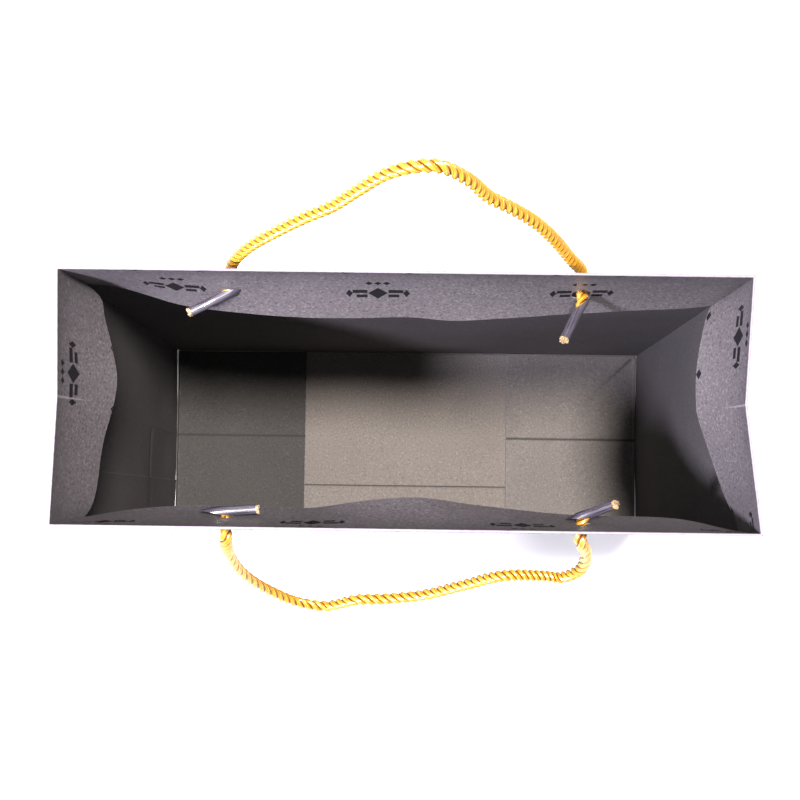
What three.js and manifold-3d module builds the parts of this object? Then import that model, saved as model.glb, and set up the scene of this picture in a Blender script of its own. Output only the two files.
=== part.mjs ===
// Block-bottom paper gift bag with side gussets, twisted cord handles and plastic cord tips.
//
// Millimetres, +Z up, front towards -Y. The origin is the middle of the footprint.
// One creased sheet makes the bag, so each panel between two creases is a node of its own.

import * as THREE from 'three';
import { mergeVertices } from 'three/addons/utils/BufferGeometryUtils.js';
import Module from 'manifold-3d';

const wasm = await Module();
wasm.setup();

// ---------- Driving dimensions ----------

const WIDTH = 270;
const DEPTH = 100;
const HEIGHT = 350;
const PAPER = 0.4; // card thickness
const GAP = 0.3; // between pieces that lie on each other
const CREASE_GAP = 0.2; // from a panel's edge to the crease line it ends at
const LIFT = 0.6; // the turning panels' clearance over the ground
const LEAN = 1.5; // how far the gusset's middle crease stands in from the corners

const HEM_HEIGHT = 40; // turned-in top edge
const HEM_CORNER = 6; // from a corner to the end of a hem strip
const HEM_CURL = 1.6; // 1 leans in evenly, more keeps the top close to the wall
const HEM_GRID = 10; // distance between the hem's bending lines

const WIDE_FLAP = 77; // the front and rear floor flaps, from the edge they fold at to their free edge
const SIDE_FLAP = 74; // the left and right floor flaps
const FLAP_INSET = 0.6; // from a floor flap to the walls around it
const LAP_WIDTH = 20; // glue lap inside the front left corner
const LAP_START = 3; // from the corner to the lap
const LAP_TOP = HEIGHT - HEM_HEIGHT - 8;

const HOLE_X = 70; // half the distance between a handle's two holes
const HOLE_Z = HEIGHT - 25;
const HOLE_RADIUS = 2.9;
const HEM_HOLE_RADIUS = 3.4;
const HOLE_SIDES = 24;

const ROPE_RADIUS = 2.5;
const ROPE_SIDES = 12;
const LOOP_STEPS = 44;
const CORE_RADIUS = 1.4; // the rope squeezed inside its tip
const CORE_STEPS = 24;
const SWING_OFFSET = 3; // from a wall's outer face to the line its handle swings about
const ROPE_END = 0.2; // how far the rope's fixed end stands out of its hole
const REAR_NECK = 5; // from a wall's inner face to where the rope narrows
const FRONT_NECK = 3.5;
const FIBRE_END = 1; // fibres that stand out of a tip's cut end

const TIP_RADIUS = 2;
const TIP_BORE = 1.65;
const TIP_MOUTH = 2.8; // radius at the pointed end
const TIP_MOUTH_BORE = 2.45;
const TIP_SIDES = 24;
const KNIFE = 40; // the block that cuts a tip's slanting mouth

const innerX = WIDTH / 2 - PAPER;
const innerY = DEPTH / 2 - PAPER;

// ---------- Materials ----------

const paperOutside = new THREE.MeshStandardMaterial({ color: 0x6e6776, roughness: 0.72, metalness: 0 });
const paperInside = new THREE.MeshStandardMaterial({ color: 0x6f6863, roughness: 0.85, metalness: 0 });
const goldCord = new THREE.MeshStandardMaterial({ color: 0xe2a42a, roughness: 0.35, metalness: 0.2 });
const tipPlastic = new THREE.MeshStandardMaterial({ color: 0x4a464e, roughness: 0.25, metalness: 0 });

// ---------- Helpers ----------

const bag = new THREE.Group();

function add(name, geometry, material) {
  const mesh = new THREE.Mesh(geometry, material);
  mesh.name = name;
  bag.add(mesh);
  return mesh;
}

function toSolid(geometry) {
  const bare = geometry.clone();
  bare.deleteAttribute('normal');
  bare.deleteAttribute('uv');
  const merged = mergeVertices(bare, 1e-4);
  return new wasm.Manifold(new wasm.Mesh({
    numProp: 3,
    vertProperties: new Float32Array(merged.attributes.position.array),
    triVerts: new Uint32Array(merged.index.array),
  }));
}

function toGeometry(solid) {
  const mesh = solid.getMesh();
  const geometry = new THREE.BufferGeometry();
  geometry.setAttribute('position', new THREE.BufferAttribute(mesh.vertProperties, 3));
  geometry.setIndex(new THREE.BufferAttribute(mesh.triVerts, 1));
  return geometry;
}

function block(low, high) {
  const size = high.map((top, i) => top - low[i]);
  const middle = high.map((top, i) => (top + low[i]) / 2);
  return new THREE.BoxGeometry(...size).translate(...middle);
}

function circle(radius, sides) {
  const shape = new THREE.Shape();
  for (let i = 0; i < sides; i++) {
    const turn = (2 * Math.PI * i) / sides;
    const corner = [radius * Math.cos(turn), radius * Math.sin(turn)];
    if (i === 0) shape.moveTo(...corner);
    else shape.lineTo(...corner);
  }
  shape.closePath();
  return shape;
}

function tube(path, radius, steps) {
  const options = { steps, extrudePath: path, bevelEnabled: false };
  return new THREE.ExtrudeGeometry(circle(radius, ROPE_SIDES), options);
}

// Cuts a handle's two holes, which run along Y, out of a wall or a hem.
function withCordHoles(geometry, side, radius) {
  let solid = toSolid(geometry);
  for (const x of [-HOLE_X, HOLE_X]) {
    const drill = new THREE.CylinderGeometry(radius, radius, DEPTH, HOLE_SIDES);
    drill.translate(x, side * DEPTH / 2, HOLE_Z);
    solid = solid.subtract(toSolid(drill));
  }
  return toGeometry(solid);
}

// ---------- Walls ----------

function wideWall(name, side, bottom) {
  const outer = side * DEPTH / 2;
  const inner = side * innerY;
  const low = [-WIDTH / 2, Math.min(outer, inner), bottom];
  const high = [WIDTH / 2, Math.max(outer, inner), HEIGHT];
  add(name, withCordHoles(block(low, high), side, HOLE_RADIUS), paperOutside);
}

// Half a gusset, from a corner of the bag to the crease down the gusset's middle.
function gussetHalf(name, xSide, ySide) {
  const corner = ySide * (innerY - GAP);
  const crease = ySide * CREASE_GAP;
  const outer = WIDTH / 2;
  const outline = [
    [outer, corner],
    [outer - LEAN, crease],
    [outer - LEAN - PAPER, crease],
    [outer - PAPER, corner],
  ].map(([x, y]) => new THREE.Vector2(xSide * x, y));
  const options = { depth: HEIGHT - LIFT, bevelEnabled: false };
  const panel = new THREE.ExtrudeGeometry(new THREE.Shape(outline), options);
  add(name, panel.translate(0, 0, LIFT), paperOutside);
}

wideWall('front_wall', -1, 0);
wideWall('rear_wall', 1, LIFT);
gussetHalf('left_front_gusset', -1, -1);
gussetHalf('left_rear_gusset', -1, 1);
gussetHalf('right_front_gusset', 1, -1);
gussetHalf('right_rear_gusset', 1, 1);

// ---------- Hems ----------

// How far a hem stands in from its wall. along runs from -1 to 1 between the wall's corners,
// and drop from 0 at the rim to 1 at the free edge. fullness near 0 keeps the hem out to the corners.
function hemStand(bulge, fullness, along, drop) {
  return bulge * Math.pow(1 - along * along, fullness) * Math.pow(drop, HEM_CURL);
}

// A strip whose length runs along X and whose bulge goes towards +Y, at a wall with its inner
// face at -wallAt.
function hemStrip(from, to, halfWall, wallAt, lean, bulge, fullness) {
  const columns = Math.max(4, Math.round((to - from) / HEM_GRID));
  const rows = Math.round(HEM_HEIGHT / HEM_GRID);
  const strip = new THREE.BoxGeometry(to - from, PAPER, HEM_HEIGHT, columns, 1, rows);
  strip.translate((from + to) / 2, PAPER / 2 + GAP - wallAt, HEIGHT - HEM_HEIGHT / 2);
  const place = strip.attributes.position;
  for (let i = 0; i < place.count; i++) {
    const along = place.getX(i) / halfWall;
    const drop = (HEIGHT - place.getZ(i)) / HEM_HEIGHT;
    const inward = lean * (1 - Math.abs(along)) + hemStand(bulge, fullness, along, drop);
    place.setY(i, place.getY(i) + inward);
  }
  return strip;
}

function wideHem(name, side, bulge, fullness) {
  const end = WIDTH / 2 - HEM_CORNER;
  const strip = hemStrip(-end, end, WIDTH / 2, innerY, 0, bulge, fullness);
  if (side > 0) strip.rotateZ(Math.PI);
  add(name, withCordHoles(strip, side, HEM_HOLE_RADIUS), paperOutside);
}

function gussetHem(name, xSide, ySide, bulge, fullness) {
  const end = DEPTH / 2 - HEM_CORNER;
  const towardsRear = xSide * ySide > 0;
  const [from, to] = towardsRear ? [CREASE_GAP, end] : [-end, -CREASE_GAP];
  const strip = hemStrip(from, to, DEPTH / 2, innerX, LEAN, bulge, fullness);
  strip.rotateZ(xSide * Math.PI / 2);
  add(name, strip, paperOutside);
}

wideHem('front_hem', -1, 12, 2.2);
wideHem('rear_hem', 1, 14, 0.6);
gussetHem('left_front_hem', -1, -1, 14, 0.5);
gussetHem('left_rear_hem', -1, 1, 15, 0.4);
gussetHem('right_front_hem', 1, -1, 12, 1.5);
gussetHem('right_rear_hem', 1, 1, 12.5, 0.4);

// ---------- Floor ----------

// The four flaps of the block bottom lie on each other: front, then rear, then the two side flaps.
function floorFlap(name, layer, xRange, yRange) {
  const bottom = layer * (PAPER + GAP);
  const low = [xRange[0], yRange[0], bottom];
  const high = [xRange[1], yRange[1], bottom + PAPER];
  add(name, block(low, high), paperInside);
}

const floorX = innerX - LEAN - FLAP_INSET;
const floorY = innerY - FLAP_INSET;

floorFlap('bottom_front_flap', 0, [-floorX, floorX], [-floorY, WIDE_FLAP - floorY]);
floorFlap('bottom_rear_flap', 1, [-floorX, floorX], [floorY - WIDE_FLAP, floorY]);
floorFlap('bottom_left_flap', 2, [-floorX, SIDE_FLAP - floorX], [-floorY, floorY]);
floorFlap('bottom_right_flap', 2, [floorX - SIDE_FLAP, floorX], [-floorY, floorY]);

// The glue lap closes the tube of the bag. It lies on the front left gusset's inner face.
function glueLap() {
  const faceAt = (y) => -innerX + LEAN * (innerY - Math.abs(y)) / innerY + GAP;
  const start = LAP_START - innerY;
  const end = start + LAP_WIDTH;
  const outline = [
    [faceAt(start), start],
    [faceAt(start) + PAPER, start],
    [faceAt(end) + PAPER, end],
    [faceAt(end), end],
  ].map(([x, y]) => new THREE.Vector2(x, y));
  const bottom = 3 * (PAPER + GAP);
  const options = { depth: LAP_TOP - bottom, bevelEnabled: false };
  const lap = new THREE.ExtrudeGeometry(new THREE.Shape(outline), options);
  add('side_glue_lap', lap.translate(0, 0, bottom), paperInside);
}

glueLap();

// ---------- Handles ----------

// A handle's loop in its own plane: X, and distance along the plane from the line it swings about.
const REAR_LOOP = [
  [-70, 0], [-68, 10], [-60, 28], [-50, 43], [-37.5, 59.5], [-27, 71.5], [-17.5, 87], [-7.5, 102.5],
  [1, 109], [10, 110], [20.5, 99], [29, 82], [37, 72], [46, 59], [54, 43], [63.5, 18], [70, 0],
];
const FRONT_LOOP = [
  [-70, 0], [-71, 25], [-67.5, 52], [-59, 75], [-46, 95], [-35, 99.5], [-21, 89], [-8, 86.5],
  [8, 80], [27, 62.5], [42, 49], [56, 48.5], [66, 50.5], [73, 41], [74.5, 27], [73, 12], [70, 0],
];
const REAR_TILT = THREE.MathUtils.degToRad(79); // above the horizontal, at rest
const FRONT_TILT = THREE.MathUtils.degToRad(-71);

function loop(name, side, points, tilt) {
  const swingY = DEPTH / 2 + SWING_OFFSET;
  const route = points.map(([x, reach]) => new THREE.Vector3(
    x,
    side * (swingY + reach * Math.cos(tilt)),
    HOLE_Z + reach * Math.sin(tilt),
  ));
  const path = new THREE.CatmullRomCurve3(route, false, 'centripetal');
  add(name, tube(path, ROPE_RADIUS, LOOP_STEPS), goldCord);
}

loop('rear_cord_loop', 1, REAR_LOOP, REAR_TILT);
loop('front_cord_loop', -1, FRONT_LOOP, FRONT_TILT);

// ---------- Cord ends and tips ----------

// Each tip is a sleeve from its pointed end, the lip, to its cut end, and slant is how long its
// slanting mouth is. The rope comes through the wall and the hem, turns into the mouth at turn
// (a distance along the sleeve) and ends in fibres.
const TIPS = [
  {
    name: 'rear_left', side: 1, x: -HOLE_X, slant: 10, turn: 6,
    lip: [-65.6, 45.7, 326.5], cut: [-85.3, 35.6, 326.5],
  },
  {
    name: 'rear_right', side: 1, x: HOLE_X, slant: 9, turn: 4,
    lip: [71.6, 44.8, 326.5], cut: [62.1, 25.8, 336],
  },
  {
    name: 'front_left', side: -1, x: -HOLE_X, slant: 13, turn: 8,
    lip: [-79.8, -44, 325.5], cut: [-58, -42.2, 327],
  },
  {
    name: 'front_right', side: -1, x: HOLE_X, slant: 11, turn: 7,
    lip: [66, -45.2, 322], cut: [81.9, -38.6, 336],
  },
];

function tipSleeve(tip, lip, axis, length) {
  const profile = [
    [TIP_MOUTH_BORE, 0], [TIP_MOUTH, 0], [TIP_RADIUS, tip.slant], [TIP_RADIUS, length],
    [TIP_BORE, length], [TIP_BORE, tip.slant], [TIP_MOUTH_BORE, 0],
  ].map(([r, y]) => new THREE.Vector2(r, y));
  const sleeve = new THREE.LatheGeometry(profile, TIP_SIDES);
  // The mouth is cut from the lip, on the side away from the wall, to slant on the wall's side.
  const knife = new THREE.BoxGeometry(KNIFE, KNIFE, KNIFE).translate(0, -KNIFE / 2, 0);
  knife.rotateZ(Math.atan2(tip.slant, TIP_MOUTH + TIP_RADIUS)).translate(-TIP_MOUTH, 0, 0);
  const cut = toGeometry(toSolid(sleeve).subtract(toSolid(knife)));
  const toWall = new THREE.Vector3(0, tip.side, 0);
  const open = toWall.addScaledVector(axis, -toWall.dot(axis)).normalize();
  const across = new THREE.Vector3().crossVectors(open, axis);
  cut.applyMatrix4(new THREE.Matrix4().makeBasis(open, axis, across));
  cut.translate(lip.x, lip.y, lip.z);
  add(`${tip.name}_cord_tip`, cut, tipPlastic);
}

function cordEnd(tip, lip, axis, length) {
  const alongHole = (y) => new THREE.Vector3(tip.x, tip.side * y, HOLE_Z);
  const alongTip = (distance) => lip.clone().addScaledVector(axis, distance);
  const neckY = innerY - (tip.side > 0 ? REAR_NECK : FRONT_NECK);
  const neck = alongHole(neckY);
  const straight = alongTip(tip.slant + 1);
  const route = new THREE.CurvePath();
  route.add(new THREE.LineCurve3(alongHole(neckY + 1), neck));
  route.add(new THREE.QuadraticBezierCurve3(neck, alongTip(tip.turn), straight));
  route.add(new THREE.LineCurve3(straight, alongTip(length + FIBRE_END)));
  const rope = tube(new THREE.LineCurve3(alongHole(DEPTH / 2 + ROPE_END), neck), ROPE_RADIUS, 2);
  const core = tube(route, CORE_RADIUS, CORE_STEPS);
  add(`${tip.name}_cord_end`, toGeometry(toSolid(rope).add(toSolid(core))), goldCord);
}

for (const tip of TIPS) {
  const lip = new THREE.Vector3(...tip.lip);
  const axis = new THREE.Vector3(...tip.cut).sub(lip);
  const length = axis.length();
  axis.normalize();
  tipSleeve(tip, lip, axis, length);
  cordEnd(tip, lip, axis, length);
}

export default bag;
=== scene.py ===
"""Paper wine gift bag with twisted gold cord handles, standing open and seen from above.

Metres, +Z up, front towards -Y, origin in the middle of the footprint. The bag is one creased
sheet, so each panel runs from the floor over the rim and down its turned-in hem in one piece.
"""
import math

import bpy
import numpy as np
from mathutils import Matrix, Vector, noise


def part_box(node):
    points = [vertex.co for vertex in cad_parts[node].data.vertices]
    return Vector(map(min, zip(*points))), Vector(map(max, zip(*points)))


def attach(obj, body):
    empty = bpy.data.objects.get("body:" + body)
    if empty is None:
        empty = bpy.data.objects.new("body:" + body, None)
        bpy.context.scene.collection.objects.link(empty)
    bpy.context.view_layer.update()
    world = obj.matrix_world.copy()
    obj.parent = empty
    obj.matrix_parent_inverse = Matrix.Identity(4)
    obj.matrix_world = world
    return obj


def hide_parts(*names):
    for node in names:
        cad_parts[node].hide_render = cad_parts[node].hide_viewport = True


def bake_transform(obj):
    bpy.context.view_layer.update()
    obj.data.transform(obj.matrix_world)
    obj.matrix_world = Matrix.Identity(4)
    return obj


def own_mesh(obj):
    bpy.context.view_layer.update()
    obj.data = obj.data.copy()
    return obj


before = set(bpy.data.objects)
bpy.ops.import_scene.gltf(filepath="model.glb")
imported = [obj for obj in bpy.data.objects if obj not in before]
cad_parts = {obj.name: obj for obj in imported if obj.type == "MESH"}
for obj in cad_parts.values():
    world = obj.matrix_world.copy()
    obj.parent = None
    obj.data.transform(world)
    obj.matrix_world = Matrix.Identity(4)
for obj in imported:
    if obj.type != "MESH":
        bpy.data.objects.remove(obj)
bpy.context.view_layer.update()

# ---------- Sizes ----------

HALF_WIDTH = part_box("front_wall")[1].x
HALF_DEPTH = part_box("rear_wall")[1].y
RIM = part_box("front_wall")[1].z
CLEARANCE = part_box("rear_wall")[0].z  # the turning panels' height over the ground
HEM_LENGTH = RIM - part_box("rear_hem")[0].z

CARD = 0.00036  # thickness of the card
FOLD = 0.00036  # radius of the rim's fold, at the card's middle
CORNER_X = HALF_WIDTH - CARD / 2
CORNER_Y = HALF_DEPTH - CARD / 2
WALL_TOP = RIM - CARD / 2 - FOLD
FOLD_ARC = math.pi * FOLD
HEM_CURL = 1.6  # 1 leans in evenly, more keeps the top of the hem close to the wall

HOLE_X = 0.070
HOLE_Z = 0.325
WALL_HOLE = 0.0029
HOLE_MARGIN = 0.006  # half the square of mesh that turns into a hole's rings

SWING_Y = HALF_DEPTH + 0.003  # the lines that the handles swing about

# ---------- Camera ----------

CAMERA_LENS = 77.35  # millimetres, on a sensor 36 mm wide
CAMERA_PLACE = (0.0018, -0.0406, 1.0051)
CAMERA_TURNS = [(3.56, "X"), (0.31, "Y"), (0.75, "Z")]  # degrees, from looking straight down


def link(thing):
    bpy.context.scene.collection.objects.link(thing)
    return thing


def make_camera():
    data = bpy.data.cameras.new("camera")
    data.sensor_width = 36
    data.lens = CAMERA_LENS
    camera = link(bpy.data.objects.new("camera", data))
    place = Matrix.Translation(CAMERA_PLACE)
    for degrees, axis in CAMERA_TURNS:
        place = place @ Matrix.Rotation(math.radians(degrees), 4, axis)
    camera.matrix_world = place
    bpy.context.scene.camera = camera


make_camera()

# ---------- Node helpers ----------


class Nodes:
    """A material's node tree, with short ways to add and join nodes."""

    def __init__(self, name):
        self.material = bpy.data.materials.new(name)
        self.material.use_nodes = True
        self.tree = self.material.node_tree
        self.shader = self.tree.nodes["Principled BSDF"]

    def add(self, kind, inputs=(), **settings):
        node = self.tree.nodes.new(kind)
        for key, value in settings.items():
            setattr(node, key, value)
        for key, value in dict(inputs).items():
            self.put(value, node.inputs[key])
        return node

    def put(self, value, socket):
        if isinstance(value, bpy.types.NodeSocket):
            self.tree.links.new(value, socket)
        else:
            socket.default_value = value

    def math(self, operation, a, b=0.0, clamp=False):
        node = self.add("ShaderNodeMath", {0: a, 1: b}, operation=operation)
        node.use_clamp = clamp
        return node.outputs[0]

    def step(self, value, low, high):
        """0 below low, 1 above high and smooth between; low may be the larger."""
        settings = {"Value": value, "From Min": low, "From Max": high}
        node = self.add("ShaderNodeMapRange", settings, interpolation_type="SMOOTHSTEP")
        return node.outputs["Result"]

    def mix(self, share, a, b):
        node = self.add("ShaderNodeMix", data_type="RGBA")
        self.put(share, node.inputs["Factor"])
        self.put(a, node.inputs[6])
        self.put(b, node.inputs[7])
        return node.outputs[2]

    def noise(self, where, scale, detail=3.0, roughness=0.55):
        settings = {"Vector": where, "Scale": scale, "Detail": detail, "Roughness": roughness}
        return self.add("ShaderNodeTexNoise", settings).outputs["Fac"]

    def stretched(self, where, scale):
        node = self.add("ShaderNodeMapping", {"Vector": where, "Scale": scale})
        return node.outputs["Vector"]

    def object_place(self):
        return self.add("ShaderNodeTexCoord").outputs["Object"]

    def flat_place(self):
        """(u, v, 0) of the piece's UV map."""
        return self.add("ShaderNodeUVMap", uv_map="flat").outputs["UV"]

    def attribute(self, name):
        return self.add("ShaderNodeAttribute", attribute_name=name).outputs["Fac"]

    def bump(self, height, distance, strength=1.0, onto=None):
        settings = {"Height": height, "Distance": distance, "Strength": strength}
        node = self.add("ShaderNodeBump", settings)
        if onto is not None:
            self.put(onto, node.inputs["Normal"])
        return node.outputs["Normal"]

    def finish(self, **sockets):
        for key, value in sockets.items():
            self.put(value, self.shader.inputs[key.replace("_", " ")])
        return self.material


# ---------- Materials ----------

MOTIF_PITCH = 0.0818  # along the printed face
MOTIF_ROWS = 0.048  # from row to row
PLIES = 3  # yarns that show on each strand of the cords


def motif_mask(n, along, up):
    """A generic ornament: a lozenge between pairs of bars, with small lozenges around it."""

    def box_mask(centre_u, centre_v, half_u, half_v, soft=0.0002):
        du = n.math("ABSOLUTE", n.math("SUBTRACT", along, centre_u))
        dv = n.math("ABSOLUTE", n.math("SUBTRACT", up, centre_v))
        inside_u = n.step(du, half_u + soft, half_u - soft)
        inside_v = n.step(dv, half_v + soft, half_v - soft)
        return n.math("MULTIPLY", inside_u, inside_v)

    def lozenge(centre_u, centre_v, half_u, half_v):
        du = n.math("DIVIDE", n.math("ABSOLUTE", n.math("SUBTRACT", along, centre_u)), half_u)
        dv = n.math("DIVIDE", n.math("ABSOLUTE", n.math("SUBTRACT", up, centre_v)), half_v)
        return n.step(n.math("ADD", du, dv), 1.04, 0.96)

    masks = [lozenge(0, 0, 0.0040, 0.0044)]
    for side in (-1, 1):
        masks.append(box_mask(side * 0.0072, 0.0014, 0.0030, 0.0013))
        masks.append(box_mask(side * 0.0064, -0.0022, 0.0022, 0.0011))
        masks.append(lozenge(side * 0.0115, 0.0, 0.0014, 0.0030))
        masks.append(lozenge(side * 0.0125, 0.0220, 0.0022, 0.0016))
    masks += [lozenge(x, 0.0088, 0.0016, 0.0017) for x in (-0.0035, 0.0, 0.0035)]
    total = masks[0]
    for mask in masks[1:]:
        total = n.math("MAXIMUM", total, mask)
    return total


def repeated(n, value, offset, pitch):
    """value - offset, brought to between -pitch / 2 and pitch / 2."""
    moved = n.math("ADD", n.math("SUBTRACT", value, offset), pitch / 2)
    return n.math("SUBTRACT", n.math("FLOORED_MODULO", moved, pitch), pitch / 2)


def printed_card(name, motif_at):
    """Matt purple-grey print with a tone-on-tone ornament, rubbed pale along its folds. motif_at is
    a motif's place along the panel and its drop from the rim."""
    n = Nodes(name)
    flat = n.flat_place()
    place = n.object_place()
    split = n.add("ShaderNodeSeparateXYZ", {0: flat})
    along = repeated(n, split.outputs[0], motif_at[0], MOTIF_PITCH)
    hem_row = WALL_TOP + FOLD_ARC + motif_at[1]
    up = repeated(n, split.outputs[1], hem_row, MOTIF_ROWS)
    ink = motif_mask(n, along, n.math("MULTIPLY", up, -1.0))
    cloud = n.noise(place, 28, 4)
    grain = n.noise(place, 850, 3, 0.75)
    fleck = n.noise(place, 4200, 1)
    tone = n.mix(cloud, (0.078, 0.071, 0.080, 1), (0.106, 0.097, 0.107, 1))
    tone = n.mix(n.step(grain, 0.53, 0.70), tone, (0.160, 0.148, 0.170, 1))
    tone = n.mix(n.step(grain, 0.47, 0.30), tone, (0.042, 0.038, 0.045, 1))
    tone = n.mix(ink, tone, (0.012, 0.011, 0.014, 1))
    wear_and_edge_light = n.attribute("wear_and_edge_light")
    broken = n.math("MULTIPLY", wear_and_edge_light, n.math("ADD", n.noise(place, 420, 3), 0.55))
    rubbed = n.step(broken, 0.38, 0.72)
    colour = n.mix(rubbed, tone, (0.215, 0.195, 0.230, 1))
    rough = n.math("ADD", n.math("MULTIPLY", grain, 0.22), 0.44)
    rough = n.math("SUBTRACT", rough, n.math("MULTIPLY", ink, 0.28))
    rough = n.math("ADD", rough, n.math("MULTIPLY", rubbed, 0.3), clamp=True)
    relief = n.bump(cloud, 0.0012, 0.35)
    relief = n.bump(grain, 0.00006, 0.7, relief)
    relief = n.bump(fleck, 0.00002, 0.5, relief)
    return n.finish(Base_Color=colour, Roughness=rough, Normal=relief, Specular_IOR_Level=0.45)


def bare_card(name, dark, light):
    """The card's uncoated reverse: warm grey with fibres, faint scuffs and pale creases, a painted highlight
    along the side flaps' free edges, and painted shade in the flaps' creases and beside the rear flap's
    lapped edge.
    """
    n = Nodes(name)
    place = n.object_place()
    cloud = n.noise(place, 24, 4)
    fibre = n.noise(n.stretched(place, (900, 2600, 900)), 1.0, 3, 0.6)
    grain = n.noise(place, 950, 3, 0.75)
    colour = n.mix(cloud, (*dark, 1), (*light, 1))
    pale = tuple(c * 1.45 for c in light)
    deep = tuple(c * 0.6 for c in dark)
    colour = n.mix(n.step(grain, 0.54, 0.72), colour, (*pale, 1))
    colour = n.mix(n.step(grain, 0.46, 0.28), colour, (*deep, 1))
    colour = n.mix(n.step(fibre, 0.42, 0.25), colour, (*deep, 1))
    scuff = n.noise(n.stretched(place, (60, 210, 110)), 1.0, 5, 0.7)
    spots = n.step(n.math("MULTIPLY", scuff, n.noise(place, 9, 1)), 0.40, 0.47)
    colour = n.mix(n.math("MULTIPLY", spots, 0.22), colour, (*pale, 1))
    broken = n.math("MULTIPLY", n.attribute("wear_and_edge_light"), n.math("ADD", n.noise(place, 380, 3), 0.5))
    # pale creases from wear, and on the side flaps a painted highlight along their free edges
    creases_and_lit_edges = n.step(broken, 0.30, 0.90)
    colour = n.mix(creases_and_lit_edges, colour, (0.27, 0.255, 0.265, 1))
    # painted shade: dark lines in the floor flaps' creases and a painted shadow beside the rear flap's
    # lapped edge
    shade = n.step(n.attribute("shade"), 0.0, 1.0)
    colour = n.mix(shade, colour, (0.018, 0.017, 0.018, 1))
    rough = n.math("ADD", n.math("MULTIPLY", grain, 0.18), 0.68, clamp=True)
    relief = n.bump(cloud, 0.0014, 0.35)
    relief = n.bump(fibre, 0.00005, 0.6, relief)
    relief = n.bump(grain, 0.00004, 0.6, relief)
    return n.finish(Base_Color=colour, Roughness=rough, Normal=relief, Specular_IOR_Level=0.3)


def cut_card():
    """The card's cut edge: paler core, with fibres."""
    n = Nodes("card_edge")
    place = n.object_place()
    fibre = n.noise(place, 2400, 3, 0.7)
    colour = n.mix(fibre, (0.10, 0.095, 0.10, 1), (0.26, 0.245, 0.26, 1))
    return n.finish(Base_Color=colour, Roughness=0.85, Normal=n.bump(fibre, 0.00008))


def gold_strand(name, crest, groove, glow):
    """Satin yarns laid along each strand, with painted shade, a darker brown, in the grooves between strands
    and between yarns.
    """
    n = Nodes(name)
    split = n.add("ShaderNodeSeparateXYZ", {0: n.flat_place()})
    across = n.math("FRACT", split.outputs[0])
    from_crest = n.math("ABSOLUTE", n.math("SUBTRACT", across, 0.5))
    yarn = n.math("FRACT", n.math("MULTIPLY", across, PLIES))
    from_yarn = n.math("ABSOLUTE", n.math("SUBTRACT", yarn, 0.5))
    slanted = n.math("ADD", split.outputs[0], n.math("MULTIPLY", split.outputs[1], 0.35))
    threads = n.add("ShaderNodeCombineXYZ", {0: slanted, 1: split.outputs[1]})
    fine = n.noise(n.stretched(threads.outputs[0], (30, 4, 1)), 1.0, 3, 0.65)
    colour = n.mix(n.step(fine, 0.34, 0.62), (*groove, 1), (*crest, 1))
    colour = n.mix(n.math("MULTIPLY", n.step(fine, 0.52, 0.74), 0.5), colour, (*glow, 1))
    # painted shade: this darker brown is laid over the grooves between yarns and, fully, the grooves between
    # strands
    groove_shade = tuple(c * 0.38 for c in groove)
    colour = n.mix(n.math("MULTIPLY", n.step(from_yarn, 0.30, 0.50), 0.65), colour, (*groove_shade, 1))
    colour = n.mix(n.step(from_crest, 0.25, 0.46), colour, (*groove_shade, 1))
    rough = n.math("ADD", n.math("MULTIPLY", fine, 0.25), 0.14, clamp=True)
    relief = n.bump(fine, 0.00015, 0.8)
    n.shader.inputs["Metallic"].default_value = 0.35
    n.shader.inputs["Coat Weight"].default_value = 0.9
    n.shader.inputs["Coat Roughness"].default_value = 0.22
    n.shader.inputs["Coat IOR"].default_value = 1.9
    return n.finish(Base_Color=colour, Roughness=rough, Normal=relief)


def sleeve_film():
    """Dark glossy film, drawn into lengthwise streaks."""
    n = Nodes("tip_film")
    flat = n.flat_place()
    streak = n.noise(n.stretched(flat, (22, 90, 1)), 1.0, 3, 0.6)
    wrinkle = n.noise(n.stretched(flat, (7, 420, 1)), 1.0, 3, 0.6)
    colour = n.mix(n.step(streak, 0.35, 0.7), (0.016, 0.014, 0.022, 1), (0.070, 0.062, 0.088, 1))
    rough = n.math("ADD", n.math("MULTIPLY", streak, 0.30), 0.14, clamp=True)
    relief = n.bump(streak, 0.00020, 0.7)
    relief = n.bump(wrinkle, 0.00012, 0.6, relief)
    n.shader.inputs["Coat Weight"].default_value = 1.0
    n.shader.inputs["Coat Roughness"].default_value = 0.26
    n.shader.inputs["Coat IOR"].default_value = 1.9
    return n.finish(Base_Color=colour, Roughness=rough, Normal=relief, Specular_IOR_Level=0.8)


def cut_fibres():
    """The pale threads of a strand's cut end."""
    n = Nodes("cord_fibres")
    place = n.object_place()
    thread = n.noise(place, 2600, 3, 0.7)
    colour = n.mix(n.step(thread, 0.35, 0.62), (0.16, 0.075, 0.015, 1), (0.34, 0.28, 0.19, 1))
    return n.finish(Base_Color=colour, Roughness=0.6, Normal=n.bump(thread, 0.0003))


EDGE = cut_card()
FILM = sleeve_film()
FIBRES = cut_fibres()
GOLD = gold_strand("gold_cord", (0.86, 0.47, 0.024), (0.56, 0.20, 0.005), (0.97, 0.68, 0.15))

# ---------- Mesh helpers ----------


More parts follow.
